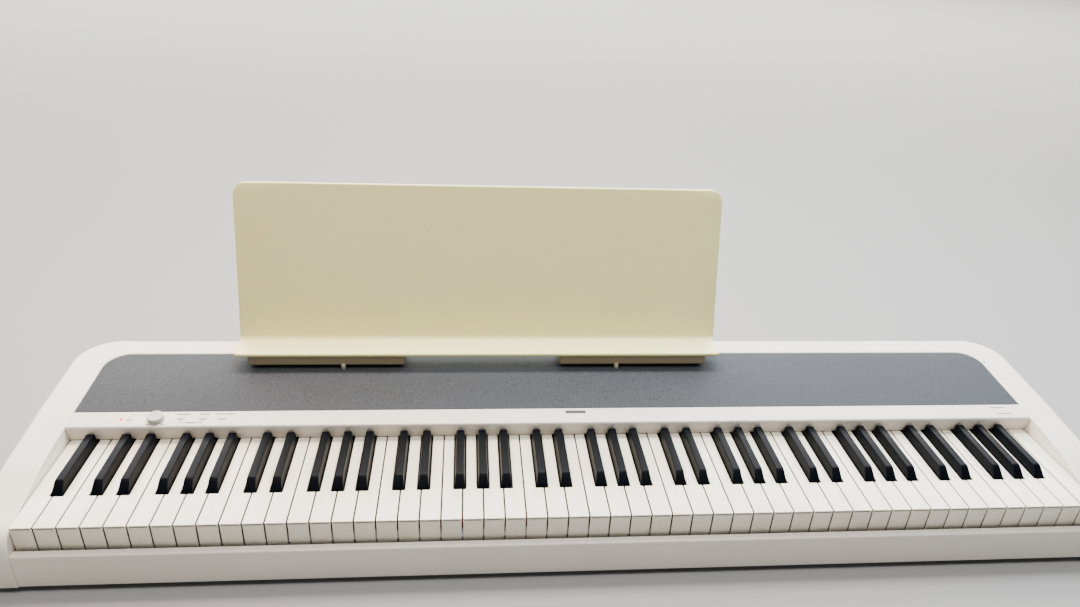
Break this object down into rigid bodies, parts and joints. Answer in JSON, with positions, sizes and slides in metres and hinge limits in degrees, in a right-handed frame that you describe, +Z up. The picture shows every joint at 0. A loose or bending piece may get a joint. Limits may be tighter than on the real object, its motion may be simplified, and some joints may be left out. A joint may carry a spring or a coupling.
{
  "type": "digital piano",
  "caption": "Slab digital piano with pressable weighted keys, control strip, knob and buttons, and a lift-off music rest.",
  "frame": {"origin": "bottom centre of the bounding box, on the surface the rubber feet stand on", "axes": "+X along the keyboard from the lowest to the highest note, +Y from the player to the rear, +Z up"},
  "size_m": [1.312, 0.3642, 0.3402],
  "materials": {
    "white_case": "satin moulded",
    "dark_plastic": "matte moulded",
    "cream_plastic": "smooth, slightly glossy",
    "grey_panel": "fine woven speaker cloth",
    "key_white": "polished",
    "key_black": "satin, lightly worn",
    "button_white": "satin moulded",
    "knob_grey": "satin moulded",
    "red_lens": "clear red lens",
    "rubber": "matte",
    "steel": "zinc-plated sheet",
    "felt": "pressed felt",
    "circuit_board": "solder mask"
  },
  "bodies": {
    "case": {"top_case": "white_case", "bottom_case": "dark_plastic", "key_slip": "white_case", "control_strip": "white_case", "speaker_panel": "grey_panel", "key_chassis": "steel", "key_hinge_rod": "steel", "hammer_pivot_rod": "steel", "key_stop_felt": "felt", "sensor_board": "circuit_board", "main_board": "circuit_board", "rear_sockets": "dark_plastic", "speaker_left": "dark_plastic", "speaker_right": "dark_plastic", "panel_board": "circuit_board", "power_lamp": "red_lens", "foot_front_left": "rubber", "foot_front_right": "rubber", "foot_rear_left": "rubber", "foot_rear_right": "rubber"},
    "bass_naturals": {"keys_bass_naturals": "key_white"},
    "hammer_bass_naturals": {"hammers_bass_naturals": "steel"},
    "bass_sharps": {"keys_bass_sharps": "key_black"},
    "hammer_bass_sharps": {"hammers_bass_sharps": "steel"},
    "treble_naturals": {"keys_treble_naturals": "key_white"},
    "hammer_treble_naturals": {"hammers_treble_naturals": "steel"},
    "treble_sharps": {"keys_treble_sharps": "key_black"},
    "hammer_treble_sharps": {"hammers_treble_sharps": "steel"},
    "C4": {"key_C4": "key_white"},
    "hammer_C4": {"hammer_C4": "steel"},
    "D4": {"key_D4": "key_white"},
    "hammer_D4": {"hammer_D4": "steel"},
    "E4": {"key_E4": "key_white"},
    "hammer_E4": {"hammer_E4": "steel"},
    "F4": {"key_F4": "key_white"},
    "hammer_F4": {"hammer_F4": "steel"},
    "G4": {"key_G4": "key_white"},
    "hammer_G4": {"hammer_G4": "steel"},
    "A4": {"key_A4": "key_white"},
    "hammer_A4": {"hammer_A4": "steel"},
    "B4": {"key_B4": "key_white"},
    "hammer_B4": {"hammer_B4": "steel"},
    "Csharp4": {"key_Csharp4": "key_black"},
    "hammer_Csharp4": {"hammer_Csharp4": "steel"},
    "Dsharp4": {"key_Dsharp4": "key_black"},
    "hammer_Dsharp4": {"hammer_Dsharp4": "steel"},
    "Fsharp4": {"key_Fsharp4": "key_black"},
    "hammer_Fsharp4": {"hammer_Fsharp4": "steel"},
    "Gsharp4": {"key_Gsharp4": "key_black"},
    "hammer_Gsharp4": {"hammer_Gsharp4": "steel"},
    "Asharp4": {"key_Asharp4": "key_black"},
    "hammer_Asharp4": {"hammer_Asharp4": "steel"},
    "volume_knob": {"volume_knob": "knob_grey"},
    "power_button": {"power_button": "button_white"},
    "sound_button": {"sound_button": "button_white"},
    "effect_button": {"effect_button": "button_white"},
    "metronome_button": {"metronome_button": "button_white"},
    "rest": {"music_rest": "cream_plastic", "rest_foot_left": "cream_plastic", "rest_foot_right": "cream_plastic"}
  },
  "joints": [
    {"name": "bass_naturals_press", "type": "hinge", "parent": "case", "child": "bass_naturals", "pos_m": [0, 0.05289, 0.0596], "axis": [1, 0, 0], "range_deg": [0, 2.7], "stiffness_Nm_per_rad": 20.7, "springref_deg": -8.02},
    {"name": "hammer_bass_naturals_swing", "type": "hinge", "parent": "case", "child": "hammer_bass_naturals", "pos_m": [0, -0.04711, 0.03], "axis": [1, 0, 0], "range_deg": [0, 14]},
    {"name": "bass_sharps_press", "type": "hinge", "parent": "case", "child": "bass_sharps", "pos_m": [0, 0.05289, 0.0596], "axis": [1, 0, 0], "range_deg": [0, 3.15], "stiffness_Nm_per_rad": 14.4, "springref_deg": -8.02},
    {"name": "hammer_bass_sharps_swing", "type": "hinge", "parent": "case", "child": "hammer_bass_sharps", "pos_m": [0, -0.04711, 0.03], "axis": [1, 0, 0], "range_deg": [0, 14]},
    {"name": "treble_naturals_press", "type": "hinge", "parent": "case", "child": "treble_naturals", "pos_m": [0, 0.05289, 0.0596], "axis": [1, 0, 0], "range_deg": [0, 2.7], "stiffness_Nm_per_rad": 19.8, "springref_deg": -8.02},
    {"name": "hammer_treble_naturals_swing", "type": "hinge", "parent": "case", "child": "hammer_treble_naturals", "pos_m": [0, -0.04711, 0.03], "axis": [1, 0, 0], "range_deg": [0, 14]},
    {"name": "treble_sharps_press", "type": "hinge", "parent": "case", "child": "treble_sharps", "pos_m": [0, 0.05289, 0.0596], "axis": [1, 0, 0], "range_deg": [0, 3.15], "stiffness_Nm_per_rad": 13.5, "springref_deg": -8.02},
    {"name": "hammer_treble_sharps_swing", "type": "hinge", "parent": "case", "child": "hammer_treble_sharps", "pos_m": [0, -0.04711, 0.03], "axis": [1, 0, 0], "range_deg": [0, 14]},
    {"name": "C4_press", "type": "hinge", "parent": "case", "child": "C4", "pos_m": [0, 0.05289, 0.0596], "axis": [1, 0, 0], "range_deg": [0, 2.7], "stiffness_Nm_per_rad": 0.9, "springref_deg": -8.02},
    {"name": "hammer_C4_swing", "type": "hinge", "parent": "case", "child": "hammer_C4", "pos_m": [0, -0.04711, 0.03], "axis": [1, 0, 0], "range_deg": [0, 14]},
    {"name": "D4_press", "type": "hinge", "parent": "case", "child": "D4", "pos_m": [0, 0.05289, 0.0596], "axis": [1, 0, 0], "range_deg": [0, 2.7], "stiffness_Nm_per_rad": 0.9, "springref_deg": -8.02},
    {"name": "hammer_D4_swing", "type": "hinge", "parent": "case", "child": "hammer_D4", "pos_m": [0, -0.04711, 0.03], "axis": [1, 0, 0], "range_deg": [0, 14]},
    {"name": "E4_press", "type": "hinge", "parent": "case", "child": "E4", "pos_m": [0, 0.05289, 0.0596], "axis": [1, 0, 0], "range_deg": [0, 2.7], "stiffness_Nm_per_rad": 0.9, "springref_deg": -8.02},
    {"name": "hammer_E4_swing", "type": "hinge", "parent": "case", "child": "hammer_E4", "pos_m": [0, -0.04711, 0.03], "axis": [1, 0, 0], "range_deg": [0, 14]},
    {"name": "F4_press", "type": "hinge", "parent": "case", "child": "F4", "pos_m": [0, 0.05289, 0.0596], "axis": [1, 0, 0], "range_deg": [0, 2.7], "stiffness_Nm_per_rad": 0.9, "springref_deg": -8.02},
    {"name": "hammer_F4_swing", "type": "hinge", "parent": "case", "child": "hammer_F4", "pos_m": [0, -0.04711, 0.03], "axis": [1, 0, 0], "range_deg": [0, 14]},
    {"name": "G4_press", "type": "hinge", "parent": "case", "child": "G4", "pos_m": [0, 0.05289, 0.0596], "axis": [1, 0, 0], "range_deg": [0, 2.7], "stiffness_Nm_per_rad": 0.9, "springref_deg": -8.02},
    {"name": "hammer_G4_swing", "type": "hinge", "parent": "case", "child": "hammer_G4", "pos_m": [0, -0.04711, 0.03], "axis": [1, 0, 0], "range_deg": [0, 14]},
    {"name": "A4_press", "type": "hinge", "parent": "case", "child": "A4", "pos_m": [0, 0.05289, 0.0596], "axis": [1, 0, 0], "range_deg": [0, 2.7], "stiffness_Nm_per_rad": 0.9, "springref_deg": -8.02},
    {"name": "hammer_A4_swing", "type": "hinge", "parent": "case", "child": "hammer_A4", "pos_m": [0, -0.04711, 0.03], "axis": [1, 0, 0], "range_deg": [0, 14]},
    {"name": "B4_press", "type": "hinge", "parent": "case", "child": "B4", "pos_m": [0, 0.05289, 0.0596], "axis": [1, 0, 0], "range_deg": [0, 2.7], "stiffness_Nm_per_rad": 0.9, "springref_deg": -8.02},
    {"name": "hammer_B4_swing", "type": "hinge", "parent": "case", "child": "hammer_B4", "pos_m": [0, -0.04711, 0.03], "axis": [1, 0, 0], "range_deg": [0, 14]},
    {"name": "Csharp4_press", "type": "hinge", "parent": "case", "child": "Csharp4", "pos_m": [0, 0.05289, 0.0596], "axis": [1, 0, 0], "range_deg": [0, 3.15], "stiffness_Nm_per_rad": 0.9, "springref_deg": -8.02},
    {"name": "hammer_Csharp4_swing", "type": "hinge", "parent": "case", "child": "hammer_Csharp4", "pos_m": [0, -0.04711, 0.03], "axis": [1, 0, 0], "range_deg": [0, 14]},
    {"name": "Dsharp4_press", "type": "hinge", "parent": "case", "child": "Dsharp4", "pos_m": [0, 0.05289, 0.0596], "axis": [1, 0, 0], "range_deg": [0, 3.15], "stiffness_Nm_per_rad": 0.9, "springref_deg": -8.02},
    {"name": "hammer_Dsharp4_swing", "type": "hinge", "parent": "case", "child": "hammer_Dsharp4", "pos_m": [0, -0.04711, 0.03], "axis": [1, 0, 0], "range_deg": [0, 14]},
    {"name": "Fsharp4_press", "type": "hinge", "parent": "case", "child": "Fsharp4", "pos_m": [0, 0.05289, 0.0596], "axis": [1, 0, 0], "range_deg": [0, 3.15], "stiffness_Nm_per_rad": 0.9, "springref_deg": -8.02},
    {"name": "hammer_Fsharp4_swing", "type": "hinge", "parent": "case", "child": "hammer_Fsharp4", "pos_m": [0, -0.04711, 0.03], "axis": [1, 0, 0], "range_deg": [0, 14]},
    {"name": "Gsharp4_press", "type": "hinge", "parent": "case", "child": "Gsharp4", "pos_m": [0, 0.05289, 0.0596], "axis": [1, 0, 0], "range_deg": [0, 3.15], "stiffness_Nm_per_rad": 0.9, "springref_deg": -8.02},
    {"name": "hammer_Gsharp4_swing", "type": "hinge", "parent": "case", "child": "hammer_Gsharp4", "pos_m": [0, -0.04711, 0.03], "axis": [1, 0, 0], "range_deg": [0, 14]},
    {"name": "Asharp4_press", "type": "hinge", "parent": "case", "child": "Asharp4", "pos_m": [0, 0.05289, 0.0596], "axis": [1, 0, 0], "range_deg": [0, 3.15], "stiffness_Nm_per_rad": 0.9, "springref_deg": -8.02},
    {"name": "hammer_Asharp4_swing", "type": "hinge", "parent": "case", "child": "hammer_Asharp4", "pos_m": [0, -0.04711, 0.03], "axis": [1, 0, 0], "range_deg": [0, 14]},
    {"name": "volume_turn", "type": "hinge", "parent": "case", "child": "volume_knob", "pos_m": [-0.511, -0.01212, 0.10261], "axis": [0, -0.1334, 0.9911], "range_deg": [-150, 150]},
    {"name": "power_button_press", "type": "slide", "parent": "case", "child": "power_button", "axis": [0, 0.1334, -0.9911], "range_m": [0, 0.0006], "stiffness_N_per_m": 1200, "springref_m": -0.0004},
    {"name": "sound_button_press", "type": "slide", "parent": "case", "child": "sound_button", "axis": [0, 0.1334, -0.9911], "range_m": [0, 0.0006], "stiffness_N_per_m": 1200, "springref_m": -0.0004},
    {"name": "effect_button_press", "type": "slide", "parent": "case", "child": "effect_button", "axis": [0, 0.1334, -0.9911], "range_m": [0, 0.0006], "stiffness_N_per_m": 1200, "springref_m": -0.0004},
    {"name": "metronome_button_press", "type": "slide", "parent": "case", "child": "metronome_button", "axis": [0, 0.1334, -0.9911], "range_m": [0, 0.0006], "stiffness_N_per_m": 1200, "springref_m": -0.0004},
    {"name": "rest_lift_off", "type": "slide", "parent": "case", "child": "rest", "axis": [0, 0, 1], "range_m": [0, 0.04]}
  ],
  "couplings": [
    {"joint": "hammer_bass_naturals_swing", "follows": "bass_naturals_press", "ratio": 4.2},
    {"joint": "hammer_bass_sharps_swing", "follows": "bass_sharps_press", "ratio": 4.2},
    {"joint": "hammer_treble_naturals_swing", "follows": "treble_naturals_press", "ratio": 4.2},
    {"joint": "hammer_treble_sharps_swing", "follows": "treble_sharps_press", "ratio": 4.2},
    {"joint": "hammer_C4_swing", "follows": "C4_press", "ratio": 4.2},
    {"joint": "hammer_D4_swing", "follows": "D4_press", "ratio": 4.2},
    {"joint": "hammer_E4_swing", "follows": "E4_press", "ratio": 4.2},
    {"joint": "hammer_F4_swing", "follows": "F4_press", "ratio": 4.2},
    {"joint": "hammer_G4_swing", "follows": "G4_press", "ratio": 4.2},
    {"joint": "hammer_A4_swing", "follows": "A4_press", "ratio": 4.2},
    {"joint": "hammer_B4_swing", "follows": "B4_press", "ratio": 4.2},
    {"joint": "hammer_Csharp4_swing", "follows": "Csharp4_press", "ratio": 4.2},
    {"joint": "hammer_Dsharp4_swing", "follows": "Dsharp4_press", "ratio": 4.2},
    {"joint": "hammer_Fsharp4_swing", "follows": "Fsharp4_press", "ratio": 4.2},
    {"joint": "hammer_Gsharp4_swing", "follows": "Gsharp4_press", "ratio": 4.2},
    {"joint": "hammer_Asharp4_swing", "follows": "Asharp4_press", "ratio": 4.2}
  ]
}
